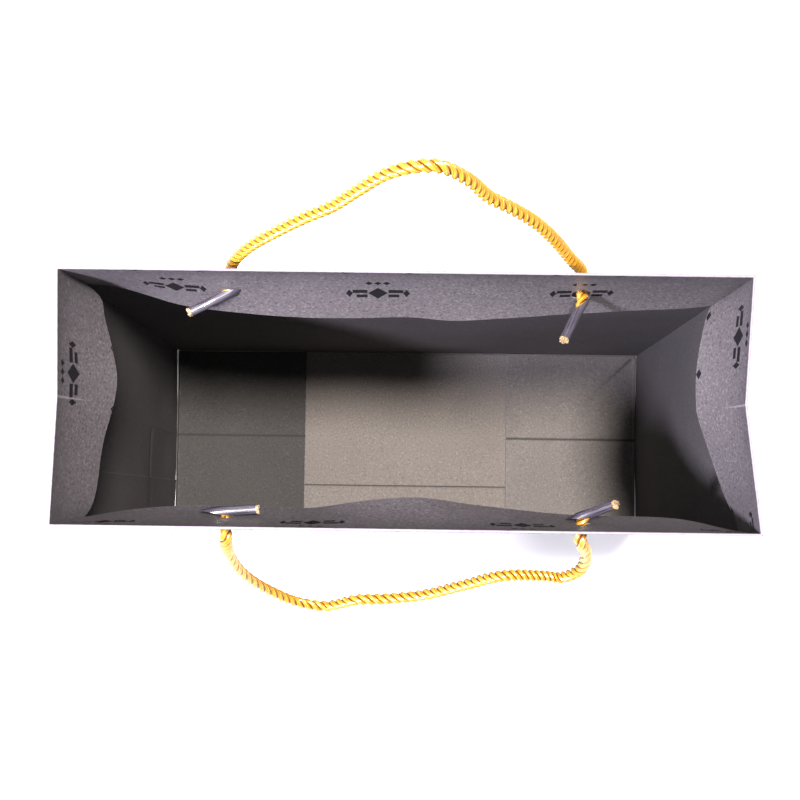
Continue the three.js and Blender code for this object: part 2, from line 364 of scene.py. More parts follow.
def through(points, x):
    """A smooth curve through (position, height) points, read at x."""
    xs = [p[0] for p in points]
    ys = [p[1] for p in points]
    x = min(max(x, xs[0]), xs[-1])
    k = max(i for i in range(len(xs) - 1) if xs[i] <= x)
    slopes = [
        (ys[min(i + 1, len(xs) - 1)] - ys[max(i - 1, 0)])
        / (xs[min(i + 1, len(xs) - 1)] - xs[max(i - 1, 0)])
        for i in (k, k + 1)
    ]
    span = xs[k + 1] - xs[k]
    w = (x - xs[k]) / span
    rise = ys[k + 1] - ys[k]
    first, second = slopes[0] * span, slopes[1] * span
    return ys[k] + w * first + w * w * (3 * rise - 2 * first - second) + w**3 * (first + second - 2 * rise)


def ramp(value, low, high):
    """0 below low, 1 above high and smooth between."""
    w = min(max((value - low) / (high - low), 0.0), 1.0)
    return w * w * (3 - 2 * w)


def bell(value, width):
    return math.exp(-((value / width) ** 2))


def grid_lines(stops, step):
    """Lines through every stop, at most a step apart."""
    lines = [stops[0]]
    for low, high in zip(stops, stops[1:]):
        count = max(1, math.ceil((high - low) / step - 1e-6))
        lines += [low + (high - low) * k / count for k in range(1, count + 1)]
    return lines


def flat_sheet(s_lines, t_lines, holes=(), radius=0.0):
    """A flat grid with round holes: its (s, t) points and its faces, anticlockwise."""
    points, faces, index = [], [], {}

    def covered(s, t, slack):
        reach = HOLE_MARGIN - slack
        return any(abs(s - hs) < reach and abs(t - ht) < reach for hs, ht in holes)

    for i, s in enumerate(s_lines):
        for j, t in enumerate(t_lines):
            if not covered(s, t, 1e-6):
                index[i, j] = len(points)
                points.append((s, t))
    for i in range(len(s_lines) - 1):
        for j in range(len(t_lines) - 1):
            middle = (s_lines[i] + s_lines[i + 1]) / 2, (t_lines[j] + t_lines[j + 1]) / 2
            if not covered(*middle, 0.0):
                faces.append((index[i, j], index[i + 1, j], index[i + 1, j + 1], index[i, j + 1]))
    for hs, ht in holes:
        faces += hole_rings(points, hs, ht, radius)
    return points, faces


def hole_rings(points, hs, ht, radius):
    """Adds the rings between a square gap in the grid and its round hole, and returns their faces."""

    def angle(k):
        return math.atan2(points[k][1] - ht, points[k][0] - hs)

    def far(k):
        return max(abs(points[k][0] - hs), abs(points[k][1] - ht))

    square = sorted((k for k in range(len(points)) if abs(far(k) - HOLE_MARGIN) < 1e-6), key=angle)
    faces, outer = [], square
    for share in (0.4, 0.75, 1.0):
        inner = []
        for k in square:
            s, t = points[k]
            turn = angle(k)
            to_s = hs + radius * math.cos(turn) - s
            to_t = ht + radius * math.sin(turn) - t
            inner.append(len(points))
            points.append((s + to_s * share, t + to_t * share))
        for a in range(len(square)):
            b = (a + 1) % len(square)
            faces.append((outer[a], outer[b], inner[b], inner[a]))
        outer = inner
    return faces


def point_normals(places, faces):
    normals = np.zeros_like(places)
    quads = np.array(faces)
    diagonal_a = places[quads[:, 2]] - places[quads[:, 0]]
    diagonal_b = places[quads[:, 3]] - places[quads[:, 1]]
    across = np.cross(diagonal_a, diagonal_b)
    for corner in range(4):
        np.add.at(normals, quads[:, corner], across)
    return normals / np.maximum(np.linalg.norm(normals, axis=1), 1e-20)[:, None]


def mesh_object(name, places, faces, corner_uvs, slots, materials, values):
    """A smooth mesh with its UV map, its material slots and its point attributes."""
    mesh = bpy.data.meshes.new(name)
    mesh.from_pydata([tuple(p) for p in places], [], faces)
    layer = mesh.uv_layers.new(name="flat")
    layer.data.foreach_set("uv", np.array(corner_uvs, np.float32).ravel())
    for material in materials:
        mesh.materials.append(material)
    mesh.polygons.foreach_set("material_index", slots)
    mesh.shade_smooth()
    mesh.set_sharp_from_angle(angle=math.radians(50))
    for key, numbers in values.items():
        attribute = mesh.attributes.new(key, "FLOAT", "POINT")
        attribute.data.foreach_set("value", np.array(numbers, np.float32))
    mesh.validate()
    return link(bpy.data.objects.new(name, mesh))


def thick_sheet(name, places, faces, uvs, thickness, materials, values=None):
    """A closed sheet about a middle surface of quads. materials are for its front, back and edge."""
    places = np.array(places, float)
    normals = point_normals(places, faces)
    count = len(places)
    skins = np.concatenate([places + normals * thickness / 2, places - normals * thickness / 2])
    back = [tuple(k + count for k in reversed(face)) for face in faces]
    edges = {}
    for face in faces:
        for a, b in zip(face, face[1:] + face[:1]):
            edges[a, b] = (b, a) not in edges
            if not edges[a, b]:
                edges[b, a] = False
    rim = [(b, a, a + count, b + count) for (a, b), free in edges.items() if free]
    everything = faces + back + rim
    corner_uvs = [uvs[k % count] for face in everything for k in face]
    slots = [0] * len(faces) + [1] * len(back) + [2] * len(rim)
    doubled = {key: list(numbers) * 2 for key, numbers in (values or {}).items()}
    return mesh_object(name, skins, everything, corner_uvs, slots, materials, doubled)


# ---------- Bag panels ----------

# How far each hem's free edge stands in from its wall, along X or Y.
HEM_EDGES = {
    "rear": [
        (-0.135, 0.0003), (-0.118, 0.0016), (-0.089, 0.0090), (-0.041, 0.0131), (0.000, 0.0124),
        (0.020, 0.0140), (0.045, 0.0120), (0.091, 0.0088), (0.124, 0.0062), (0.135, 0.0022),
    ],
    "front": [
        (-0.135, 0.0015), (-0.106, 0.0064), (-0.075, 0.0082), (-0.040, 0.0074), (-0.020, 0.0098),
        (0.007, 0.0123), (0.030, 0.0094), (0.067, 0.0063), (0.110, 0.0052), (0.135, 0.0003),
    ],
    "left": [
        (-0.050, 0.0030), (-0.041, 0.0084), (-0.015, 0.0114), (0.0, 0.0148), (0.010, 0.0160),
        (0.022, 0.0140), (0.035, 0.0107), (0.043, 0.0092), (0.050, 0.0012),
    ],
    "right": [
        (-0.050, 0.0002), (-0.044, 0.0010), (-0.033, 0.0049), (-0.018, 0.0086), (0.0, 0.0122),
        (0.018, 0.0131), (0.037, 0.0111), (0.044, 0.0081), (0.050, 0.0020),
    ],
}
# How far the middle of a gusset stands in from the corners, at the floor and at the rim.
LEAN = {"left": (0.0012, 0.0012), "right": (0.0012, 0.0040)}
# How far a corner stands out in X at the rim.
RIM_DRIFT = {"front_left": 0.0006, "front_right": 0.0020, "rear_left": 0.0, "rear_right": -0.0008}
# How rubbed the hem's crease is at each corner, and the gussets' middle creases.
CREASE_WEAR = {"rear_left": 1.0, "rear_right": 0.35, "front_left": 0.3, "front_right": 0.35}
MIDDLE_WEAR = {"left": 0.95, "right": 0.85}

CREASE_LINES = [0.0, 0.0004, 0.0008, 0.0014, 0.003]  # mesh lines beside a crease
DENT_Z = 0.100  # height of the dented line across the front left gusset
DENT_LINES = [-0.0025, -0.0006, -0.0003, 0.0, 0.0003, 0.0006, 0.0025]  # mesh lines beside the dent


def section(t):
    """The card's section at t along it from the floor: how far in it stands, its height, and
    how far down the hem it is, from 0 to 1."""
    if t <= WALL_TOP:
        return 0.0, t, 0.0
    if t < WALL_TOP + FOLD_ARC:
        turn = (t - WALL_TOP) / FOLD
        return FOLD * (1 - math.cos(turn)), WALL_TOP + FOLD * math.sin(turn), 0.0
    down = t - WALL_TOP - FOLD_ARC
    return 2 * FOLD, WALL_TOP - down, down / HEM_LENGTH


def unevenness(s, z, drop, edge_share, seed):
    """Gentle waves in the card, none at its creases."""
    if drop > 0:
        return 0.0006 * drop * edge_share * noise.noise(Vector((s * 34, z * 30, seed)))
    hold = ramp(z, 0.0, 0.05) * ramp(RIM - z, 0.0, 0.05) * edge_share
    return 0.0022 * hold * noise.noise(Vector((s * 12, z * 9, seed)))


def hem_stand(side, place, drop):
    return through(HEM_EDGES[side], place) * drop**HEM_CURL


def corner_stand(corner, drop):
    """How far in a corner of the hem stands, in X and in Y."""
    depth_side, width_side = corner.split("_")
    end_y = HALF_DEPTH if depth_side == "rear" else -HALF_DEPTH
    end_x = HALF_WIDTH if width_side == "right" else -HALF_WIDTH
    return hem_stand(width_side, end_y, drop), hem_stand(depth_side, end_x, drop)


def wide_place(side, s, t):
    """A point of the front or rear panel, from its place (s, t) on the flat card."""
    inward, z, drop = section(t)
    sign = 1 if side == "rear" else -1
    left = -CORNER_X + inward + corner_stand(f"{side}_left", drop)[0]
    right = CORNER_X - inward - corner_stand(f"{side}_right", drop)[0]
    share = (s + CORNER_X) / (2 * CORNER_X)
    rise = (z / RIM) ** 2
    left -= RIM_DRIFT[f"{side}_left"] * rise
    right += RIM_DRIFT[f"{side}_right"] * rise
    x = left + (right - left) * share
    held = 1 - (2 * share - 1) ** 4
    stand = hem_stand(side, x, drop) + unevenness(s, z, drop, held, 3.0 + sign)
    return Vector((x, sign * (CORNER_Y - inward - stand), z))


def gusset_place(side, half, s, t):
    """A point of half a gusset, from its place (s, t) on the flat card."""
    inward, z, drop = section(t)
    sign_x = 1 if side == "right" else -1
    sign_y = 1 if half == "rear" else -1
    corner = f"{half}_{side}"
    reach = CORNER_Y - inward - corner_stand(corner, drop)[1]
    share = abs(s) / CORNER_Y
    y = sign_y * reach * share
    rise = z / RIM
    at_floor, at_rim = LEAN[side]
    lean = (at_floor + (at_rim - at_floor) * rise) * (1 - share)
    drift = RIM_DRIFT[corner] * rise**2 * share
    held = 4 * share * (1 - share)
    stand = hem_stand(side, y, drop) + unevenness(y, z, drop, held, 9.0 + sign_x + 2 * sign_y)
    if corner == "front_left":
        stand -= 0.0005 * bell(z - DENT_Z, 0.0025) * ramp(share, 0.0, 0.06) * ramp(1 - share, 0.0, 0.1)
    return Vector((sign_x * (CORNER_X + drift - lean - inward - stand), y, z))


def crease_stops(low, high, low_crease=True, high_crease=True):
    """Stops from low to high, closer together beside the creases."""
    stops = [low + d for d in CREASE_LINES] if low_crease else [low]
    return stops + ([high - d for d in reversed(CREASE_LINES)] if high_crease else [high])


def height_lines(bottom, extra=()):
    wall = crease_stops(bottom, WALL_TOP) + list(extra)
    hem_top = WALL_TOP + FOLD_ARC
    fold = [WALL_TOP + FOLD_ARC * k / 8 for k in range(1, 9)]
    hem = [hem_top + 0.0003, hem_top + 0.0007, hem_top + 0.0014, hem_top + 0.0025]
    return grid_lines(sorted(set(wall)), 0.005) + fold + grid_lines(hem, 0.002) + \
        grid_lines([hem_top + 0.0025, hem_top + HEM_LENGTH], 0.002)[1:]


def rim_wear(t):
    """The fold at the rim is rubbed all along, and a cut edge a little."""
    middle = WALL_TOP + FOLD_ARC / 2
    free = WALL_TOP + FOLD_ARC + HEM_LENGTH
    worn = [0.72 * bell(t - middle, 0.0007), 0.45 * bell(t - free, 0.0004)]
    return max(*worn, 0.25 * bell(t - CLEARANCE, 0.0006))


def crease_wear(distance, t, on_wall, on_hem, fade):
    """How rubbed a crease is at a distance from it. fade is how far down the hem the rubbing weakens."""
    drop = section(t)[2]
    if t <= WALL_TOP + FOLD_ARC / 2:
        return on_wall * bell(distance, 0.0005)
    return on_hem * bell(distance, 0.0006) * (1 - fade * drop)


def panel(name, body, place, s_lines, t_lines, holes, wear_and_edge_light, materials, flip, nodes):
    flat, faces = flat_sheet(s_lines, t_lines, holes, WALL_HOLE)
    if flip:
        faces = [tuple(reversed(face)) for face in faces]
    places = [place(s, t) for s, t in flat]
    values = {"wear_and_edge_light": [wear_and_edge_light(s, t) for s, t in flat], "shade": [0.0] * len(flat)}
    piece = thick_sheet(name, places, faces, flat, CARD, materials, values)
    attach(piece, body)
    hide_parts(*nodes)
    return piece


def wide_panel(side, body, motif_at):
    corners = [f"{side}_left", f"{side}_right"]

    def wear_and_edge_light(s, t):
        ends = [s + CORNER_X, CORNER_X - s]
        worn = [crease_wear(d, t, 0.55, CREASE_WEAR[c], 0.2) for d, c in zip(ends, corners)]
        return max(rim_wear(t), *worn)

    hem_hole = WALL_TOP + FOLD_ARC + (WALL_TOP - HOLE_Z)
    holes = [(x, t) for x in (-HOLE_X, HOLE_X) for t in (HOLE_Z, hem_hole)]
    s_stops = crease_stops(-CORNER_X, CORNER_X)
    s_stops += [x + d for x in (-HOLE_X, HOLE_X) for d in (-HOLE_MARGIN, HOLE_MARGIN)]
    bottom = 0.0 if side == "front" else CLEARANCE
    t_stops = [t + d for t in (HOLE_Z, hem_hole) for d in (-HOLE_MARGIN, HOLE_MARGIN)]
    t_lines = with_stops(height_lines(bottom), t_stops, 0.0008)
    piece = panel(
        f"{side}_panel", body, lambda s, t: wide_place(side, s, t),
        grid_lines(sorted(s_stops), 0.003), t_lines, holes, wear_and_edge_light,
        [printed_card(f"{side}_print", motif_at), INSIDE, EDGE],
        side == "rear", [f"{side}_wall", f"{side}_hem"],
    )
    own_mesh(piece)


def with_stops(lines, stops, clear):
    """The lines with the stops among them, less those lines that lie close to or between a pair of stops."""
    kept = []
    for line in lines:
        near = any(abs(line - stop) < clear for stop in stops)
        if not near:
            kept.append(line)
    return sorted(kept + list(stops))


def gusset_panel(side, half, body, motif_at):
    sign_x = 1 if side == "right" else -1
    sign_y = 1 if half == "rear" else -1
    corner = f"{half}_{side}"

    def wear_and_edge_light(s, t):
        at_corner = crease_wear(CORNER_Y - abs(s), t, 0.55, CREASE_WEAR[corner], 0.2)
        at_middle = crease_wear(abs(s), t, 0.4, MIDDLE_WEAR[side], 0.75)
        dent = 0.0
        if corner == "front_left":
            dent = 0.8 * bell(t - DENT_Z, 0.0006) * (0.5 + 0.5 * noise.noise(Vector((s * 90, 0, 0))))
        return max(rim_wear(t), at_corner, at_middle, dent)

    gap = 0.00002 * sign_y
    ends = sorted([gap, sign_y * CORNER_Y])
    extra = [DENT_Z + d for d in DENT_LINES]
    piece = panel(
        f"{side}_{half}_panel", body, lambda s, t: gusset_place(side, half, s, t),
        grid_lines(crease_stops(*ends), 0.0025), height_lines(CLEARANCE, extra), (), wear_and_edge_light,
        [printed_card(f"{side}_{half}_print", motif_at), INSIDE, EDGE],
        sign_x < 0, [f"{side}_{half}_gusset", f"{side}_{half}_hem"],
    )
    flatten_to_gusset(piece)


def flatten_to_gusset(piece):
    """Gives a piece its own copy of its mesh."""
    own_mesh(piece)


INSIDE = bare_card("card_inside", (0.072, 0.067, 0.073), (0.102, 0.095, 0.101))

wide_panel("front", "front_side", (0.0455, 0.016))
wide_panel("rear", "rear_side", (0.0710, 0.0225))
gusset_panel("left", "front", "left_front_side", (0.0100, 0.0145))
gusset_panel("left", "rear", "left_rear_side", (0.0100, 0.0145))
gusset_panel("right", "front", "right_front_side", (0.0280, 0.0125))
gusset_panel("right", "rear", "right_rear_side", (0.0280, 0.0125))

# ---------- Floor ----------

FLOOR_X = CORNER_X - CARD / 2 - 0.0012  # inner faces of the gussets, at the floor
FLOOR_Y = CORNER_Y - CARD / 2
TURN_UP = 0.0016  # how far a flap runs up its wall before the crease
FLAP_LIFT = 0.0010  # how far a flap's free edge stands off the one below
REAR_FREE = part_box("bottom_rear_flap")[0].y  # the edge of the rear flap, which laps over the front one
LAP_SHADE = 0.85  # how dark the painted shadow along that edge is
FREE_LINES = [0.0, 0.0004, 0.0009, 0.002]  # mesh lines in from a flap's free edge
WALL_LINES = [0.0, 0.0003, 0.0006, 0.001, 0.0016, 0.003]  # and out from its wall
WIDE_FLAP_TONE = ((0.125, 0.112, 0.105), (0.165, 0.150, 0.141))


def flap(name, node, across, along, height, shape, wear_and_edge_light, shade, material):
    """A floor flap over the (across, along) ranges; shape adds to its height."""
    s_lines = grid_lines(sorted(across), 0.0025)
    t_lines = grid_lines(sorted(along), 0.0025)
    flat, faces = flat_sheet(s_lines, t_lines)
    places = []
    for x, y in flat:
        ripple = 0.0004 * noise.noise(Vector((x * 26, y * 26, height * 9000)))
        places.append((x, y, height + shape(x, y) + ripple))
    values = {"wear_and_edge_light": [wear_and_edge_light(x, y) for x, y in flat], "shade": [shade(x, y) for x, y in flat]}
    piece = thick_sheet(name, places, faces, flat, CARD, [material, material, EDGE], values)
    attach(piece, "front_side")
    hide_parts(node)
    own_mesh(piece)


def end_lift(distance, length):
    """A flap's free edge springs up a little over its last stretch."""
    return FLAP_LIFT * (1 - ramp(distance, 0.0, length))


def side_flap(side, tone):
    sign = 1 if side == "right" else -1
    low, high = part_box(f"bottom_{side}_flap")
    free = low.x if sign > 0 else high.x
    wall = sign * FLOOR_X
    inset = 0.0004

    def shape(x, y):
        up = TURN_UP * bell(abs(wall - x), 0.0006)
        spread = 0.8 * bell(y, 0.0014) * -0.0003
        return up + spread + end_lift(abs(x - free), 0.03)

    def wear_and_edge_light(x, y):
        # painted highlight: a pale line along the free edge, where the raised edge catches the light
        edge = 0.6 * bell(x - free, 0.0005)
        root = 0.45 * bell(abs(wall - x) - 0.0009, 0.0007)
        return max(edge, root)

    def shade(x, y):
        # painted shade: a dark line along the flap's middle crease, and on the right flap one along its
        # diagonal crease
        line = 0.8 * bell(y, 0.0008)
        if sign > 0:
            diagonal = (FLOOR_X - x) - (FLOOR_Y - y)
            reach = ramp(0.036 - (FLOOR_X - x), 0.0, 0.01)
            line = max(line, 0.75 * bell(diagonal, 0.0009) * reach)
        return line

    near = [free + sign * d for d in FREE_LINES]
    far = [wall - sign * d for d in WALL_LINES]
    height = low.z + 0.0002
    along = [-FLOOR_Y + inset, -0.0015, -0.0008, -0.0004, 0.0, 0.0004, 0.0008, 0.0015, FLOOR_Y - inset]
    material = bare_card(f"{side}_flap_card", *tone)
    flap(f"{side}_flap", f"bottom_{side}_flap", near + far, along, height, shape, wear_and_edge_light, shade, material)


def wide_flap(side, tone):
    sign = 1 if side == "rear" else -1
    low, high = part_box(f"bottom_{side}_flap")
    free = low.y if sign > 0 else high.y
    wall = sign * (FLOOR_Y - 0.0002)

    def shape(x, y):
        return 0.25 * end_lift(abs(y - free), 0.02) + TURN_UP * bell(abs(wall - y), 0.0005)

    def wear_and_edge_light(x, y):
        return max(0.2 * bell(y - free, 0.0005), 0.5 * bell(abs(wall - y) - 0.0008, 0.0006))

    def shade(x, y):
        # painted shadow of the rear flap's free edge, cast on the front flap
        return LAP_SHADE * bell(y - REAR_FREE, 0.0009) if side == "front" else 0.0

    along = [free + sign * d for d in FREE_LINES]
    along += [wall - sign * d for d in WALL_LINES]
    height = low.z + 0.0002
    material = bare_card(f"{side}_flap_card", *tone)
    across = [-FLOOR_X + 0.0006, FLOOR_X - 0.0006]
    if side == "front":
        along += [REAR_FREE + d for d in (-0.0018, -0.0009, -0.0004, 0.0, 0.0004, 0.0009)]
    flap(f"{side}_flap", f"bottom_{side}_flap", across, along, height, shape, wear_and_edge_light, shade, material)


wide_flap("front", WIDE_FLAP_TONE)
wide_flap("rear", WIDE_FLAP_TONE)
# The left flap's card is far darker than the right one's: painted shade for the light and sheen the left
# flap misses.
side_flap("left", ((0.031, 0.030, 0.030), (0.047, 0.045, 0.044)))
side_flap("right", ((0.115, 0.105, 0.102), (0.150, 0.139, 0.134)))


def glue_lap():
    """The strip that closes the bag, stuck inside its front left corner."""
    low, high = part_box("side_glue_lap")
    y_lines = grid_lines([low.y, high.y - 0.003, high.y - 0.001, high.y - 0.0005, high.y], 0.004)
    z_lines = grid_lines([low.z, low.z + 0.002, high.z - 0.002, high.z], 0.005)
    flat, faces = flat_sheet(y_lines, z_lines)
    off = CARD + 0.00006

    def place(y, z):
        wall = gusset_place("left", "front", y, z)
        lifted = 0.0003 * ramp(y, high.y - 0.004, high.y)
        return wall + Vector((off + lifted, 0, 0))

    values = {"wear_and_edge_light": [0.65 * bell(y - high.y, 0.0004) for y, z in flat], "shade": [0.0] * len(flat)}
    materials = [INSIDE, INSIDE, EDGE]
    piece = thick_sheet("glue_lap", [place(y, z) for y, z in flat], faces, flat, CARD, materials, values)
    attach(piece, "left_front_side")
    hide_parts("side_glue_lap")
    flatten_to_gusset(piece)


glue_lap()

# ---------- Handle cords ----------

# Each handle's loop in its own plane: X, and the distance from the line it swings about.
REAR_LOOP = [
    (-0.0700, 0.0), (-0.0680, 0.0100), (-0.0600, 0.0280), (-0.0500, 0.0430), (-0.0375, 0.0595),
    (-0.0270, 0.0715), (-0.0175, 0.0870), (-0.0075, 0.1025), (0.0010, 0.1090), (0.0100, 0.1100),
    (0.0205, 0.0990), (0.0290, 0.0820), (0.0370, 0.0720), (0.0460, 0.0590), (0.0540, 0.0430),
    (0.0635, 0.0180), (0.0700, 0.0),
]
FRONT_LOOP = [
    (-0.0700, 0.0), (-0.0710, 0.0250), (-0.0675, 0.0520), (-0.0590, 0.0750), (-0.0460, 0.0950),
    (-0.0350, 0.0995), (-0.0210, 0.0890), (-0.0080, 0.0865), (0.0080, 0.0800), (0.0270, 0.0625),
    (0.0420, 0.0490), (0.0560, 0.0485), (0.0660, 0.0505), (0.0730, 0.0410), (0.0745, 0.0270),
    (0.0730, 0.0120), (0.0700, 0.0),
]
LOOP_TILT = {"rear": 79, "front": -71}  # degrees above the horizontal
# How loosely the cord's strands are laid along it, against the usual lead.
REAR_LAY = [(0.0, 1.1), (0.12, 1.1), (0.3, 0.95), (0.5, 1.0), (0.7, 0.95), (1.0, 1.1)]
FRONT_LAY = [
    (0.0, 1.0), (0.09, 1.2), (0.14, 1.8), (0.24, 1.7), (0.34, 1.2), (0.45, 1.0), (0.62, 1.0), (0.68, 0.80),
    (0.755, 0.62), (0.80, 1.2), (0.86, 1.9), (0.92, 1.2), (1.0, 1.0),
]
HANDLE_SIGN = {"rear": 1, "front": -1}

# Each tip runs from its pointed end, the lip, to its cut end. slant is the length of its
# slanting mouth, and turn is where along it the rope's bend is centred.
TIPS = {
    "rear_left": {
        "lip": (-0.0656, 0.0457, 0.3265), "cut": (-0.0853, 0.0356, 0.3265), "slant": 0.010, "turn": 0.006,
    },
    "rear_right": {
        "lip": (0.0716, 0.0448, 0.3265), "cut": (0.0621, 0.0258, 0.3360), "slant": 0.009, "turn": 0.004,
    },
    "front_left": {
        "lip": (-0.0798, -0.0440, 0.3255), "cut": (-0.0580, -0.0422, 0.3270), "slant": 0.013, "turn": 0.008,
    },
    "front_right": {
        "lip": (0.0660, -0.0452, 0.3220), "cut": (0.0819, -0.0386, 0.3360), "slant": 0.011, "turn": 0.007,
    },
}
NECK = {"rear": HALF_DEPTH - 0.0054, "front": HALF_DEPTH - 0.0039}  # where the rope turns into its tip
TIP_RADIUS = 0.00180
MOUTH_RADIUS = 0.00285
FILM_THICKNESS = 0.00018

ROPE_LEAD = 0.0118  # the usual length of a full turn of the strands
SQUEEZED_SHARE = 0.69  # of the rope's full radius, inside its tips
UV_PER_METRE = 100  # along a rope
LOBE_POINTS = 18
RING_STEP = 0.0005
LOBE_OFFSET = 0.00122  # from the rope's centre to a strand's
LOBE_RADIUS = 0.00128
YARN_HEIGHT = 0.00010

# The fibres at a cut end: each ring's distance out of the cut, and its share of the rope's radius.
FIBRE_RINGS = [
    (-0.0016, 0.62), (-0.0004, 0.66), (0.0003, 0.76), (0.0009, 0.83),
    (0.0012, 0.76), (0.0013, 0.45), (0.0011, 0.12),
]


def centripetal(points, per_span):
    """A centripetal Catmull-Rom curve through the points."""
    ends = [points[0] * 2 - points[1], *points, points[-1] * 2 - points[-2]]
    line = []
    for k in range(1, len(ends) - 2):
        a, b, c, d = ends[k - 1 : k + 3]
        knots = [0.0]
        for p, q in ((a, b), (b, c), (c, d)):
            knots.append(knots[-1] + max((q - p).length, 1e-9) ** 0.5)
        for step in range(per_span):
            t = knots[1] + (knots[2] - knots[1]) * step / per_span
            line.append(catmull_point((a, b, c, d), knots, t))
    line.append(points[-1].copy())
    return line


def catmull_point(corners, knots, t):
    level = list(corners)
    for width in (1, 2, 3):
        spans = [(0, 1), (1, 2), (2, 3)] if width == 1 else [(0, 2), (1, 3)] if width == 2 else [(1, 2)]
        level = [
            (level[i] * (knots[hi] - t) + level[i + 1] * (t - knots[lo])) / (knots[hi] - knots[lo])
            for i, (lo, hi) in enumerate(spans)
        ]
    return level[0]


def evenly(line, step):
    """The line's points again, evenly spaced."""
    places = np.array([tuple(p) for p in line])
    lengths = np.concatenate([[0], np.cumsum(np.linalg.norm(np.diff(places, axis=0), axis=1))])
    count = max(2, round(lengths[-1] / step))
    wanted = np.linspace(0, lengths[-1], count + 1)
    return np.stack([np.interp(wanted, lengths, places[:, axis]) for axis in range(3)], axis=1)


def tip_frame(name):
    """A tip's lip, axis, length and sleeve direction that faces the wall."""
    tip = TIPS[name]
    lip = Vector(tip["lip"])
    axis = Vector(tip["cut"]) - lip
    length = axis.length
    axis.normalize()
    toward = Vector((0, 1 if name.startswith("rear") else -1, 0))
    open_side = (toward - axis * toward.dot(axis)).normalized()
    return lip, axis, length, open_side


def tail_route(name):
    """A cord's tail from its cut end back to its hole in the wall."""
    tip = TIPS[name]
    side, width_side = name.split("_")
    sign = HANDLE_SIGN[side]
    x = HOLE_X if width_side == "right" else -HOLE_X
    lip, axis, length, _ = tip_frame(name)
    neck = Vector((x, sign * NECK[side], HOLE_Z))
    elbow = lip + axis * tip["turn"]
    straight = lip + axis * (tip["slant"] + 0.001)
    end = lip + axis * (length + 0.0004)
    route = [end, (end + straight) / 2]
    for k in range(7):
        w = 1 - k / 6
        route.append(neck * (1 - w) ** 2 + elbow * (2 * w * (1 - w)) + straight * w**2)
    route.append(Vector((x, sign * (HALF_DEPTH - 0.0005), HOLE_Z)))
    return route


def loop_route(side):
    sign = HANDLE_SIGN[side]
    tilt = math.radians(LOOP_TILT[side])
    points = REAR_LOOP if side == "rear" else FRONT_LOOP
    return [
        Vector((x, sign * (SWING_Y + reach * math.cos(tilt)), HOLE_Z + reach * math.sin(tilt)))
        for x, reach in points
    ]


def lobe_profile():
    """(turn, radius, share across the strand) round the rope, one strand after another."""
    third = 2 * math.pi / 3
    profile = []
    for strand in range(3):
        for k in range(LOBE_POINTS):
            off = third * (k / LOBE_POINTS - 0.5)
            reach = LOBE_OFFSET * math.cos(off)
            reach += math.sqrt(LOBE_RADIUS**2 - (LOBE_OFFSET * math.sin(off)) ** 2)
            reach += YARN_HEIGHT * math.cos(2 * math.pi * (PLIES * k / LOBE_POINTS + 0.5))
            profile.append((strand * third + off, reach, strand + k / LOBE_POINTS))
    return profile


def carried_frames(line):
    """Two directions across the line at each of its points, without twist."""
    tangents = np.gradient(line, axis=0)
    tangents /= np.linalg.norm(tangents, axis=1)[:, None]
    first = np.cross(tangents[0], (0.0, 0.0, 1.0))
    first /= np.linalg.norm(first)
    frames = []
    for tangent in tangents:
        first = first - tangent * (first @ tangent)
        first /= np.linalg.norm(first)
        frames.append((first, np.cross(tangent, first)))
    return frames


def twisted_rope(name, line, squeeze, lead_at):
    """Three strands laid up along the line. squeeze gives the rope's share of its full radius, and
    lead_at the length of a full turn, both from the distance along the line and its whole length."""
    profile = lobe_profile()
    frames = carried_frames(line)
    step = float(np.linalg.norm(line[1] - line[0]))
    whole = step * (len(line) - 1)
    ring = len(profile)
    places, turn = [], 0.0
    for k, (centre, (first, second)) in enumerate(zip(line, frames)):
        share = squeeze(k * step, whole)
        for angle, reach, _ in profile:
            around = angle + turn
            out = first * math.cos(around) + second * math.sin(around)
            places.append(centre + out * reach * share)
        turn += 2 * math.pi * step / lead_at(k * step, whole)
    faces, uvs = [], []
    for k in range(len(line) - 1):
        for j in range(ring):
            following = (j + 1) % ring
            low, high = k * ring, (k + 1) * ring
            faces.append((low + j, low + following, high + following, high + j))
            u, v = profile[j][2], k * step * UV_PER_METRE
            next_u, next_v = u + 1 / LOBE_POINTS, v + step * UV_PER_METRE
            uvs += [(u, v), (next_u, v), (next_u, next_v), (u, next_v)]
    for row, order in ((0, -1), (len(line) - 1, 1)):
        faces.append(tuple(row * ring + j for j in range(ring))[::order])
        uvs += [(0.5, row * step * UV_PER_METRE)] * ring
    return mesh_object(name, places, faces, uvs, [0] * len(faces), [GOLD], {})


def squeezed(distance, whole, elbows):
    """The rope is squeezed to fit its tips, up to the elbows where it turns into them."""
    share = 1.0
    for from_end, elbow in ((distance, elbows[0]), (whole - distance, elbows[1])):
        widened = ramp(from_end, elbow - 0.0005, elbow + 0.0050)
        share = min(share, SQUEEZED_SHARE + (1 - SQUEEZED_SHARE) * widened)
    return share


def handle_cord(side, body, loosened):
    start = tail_route(f"{side}_left")
    back = tail_route(f"{side}_right")[::-1]
    route = start + loop_route(side) + back
    line = evenly(centripetal(route, 24), RING_STEP)
    names = [f"{side}_{end}" for end in ("left", "right")]
    elbows = [tip_frame(name)[2] - TIPS[name]["turn"] for name in names]

    def lead_at(distance, whole):
        return ROPE_LEAD * through(loosened, distance / whole)

    def squeeze(distance, whole):
        return squeezed(distance, whole, elbows)

    piece = twisted_rope(f"{side}_handle_cord", line, squeeze, lead_at)
    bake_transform(piece)
    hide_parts(f"{side}_cord_loop", f"{side}_left_cord_end", f"{side}_right_cord_end")
    tips = [piece for name in names for piece in cord_tip(name, body)]


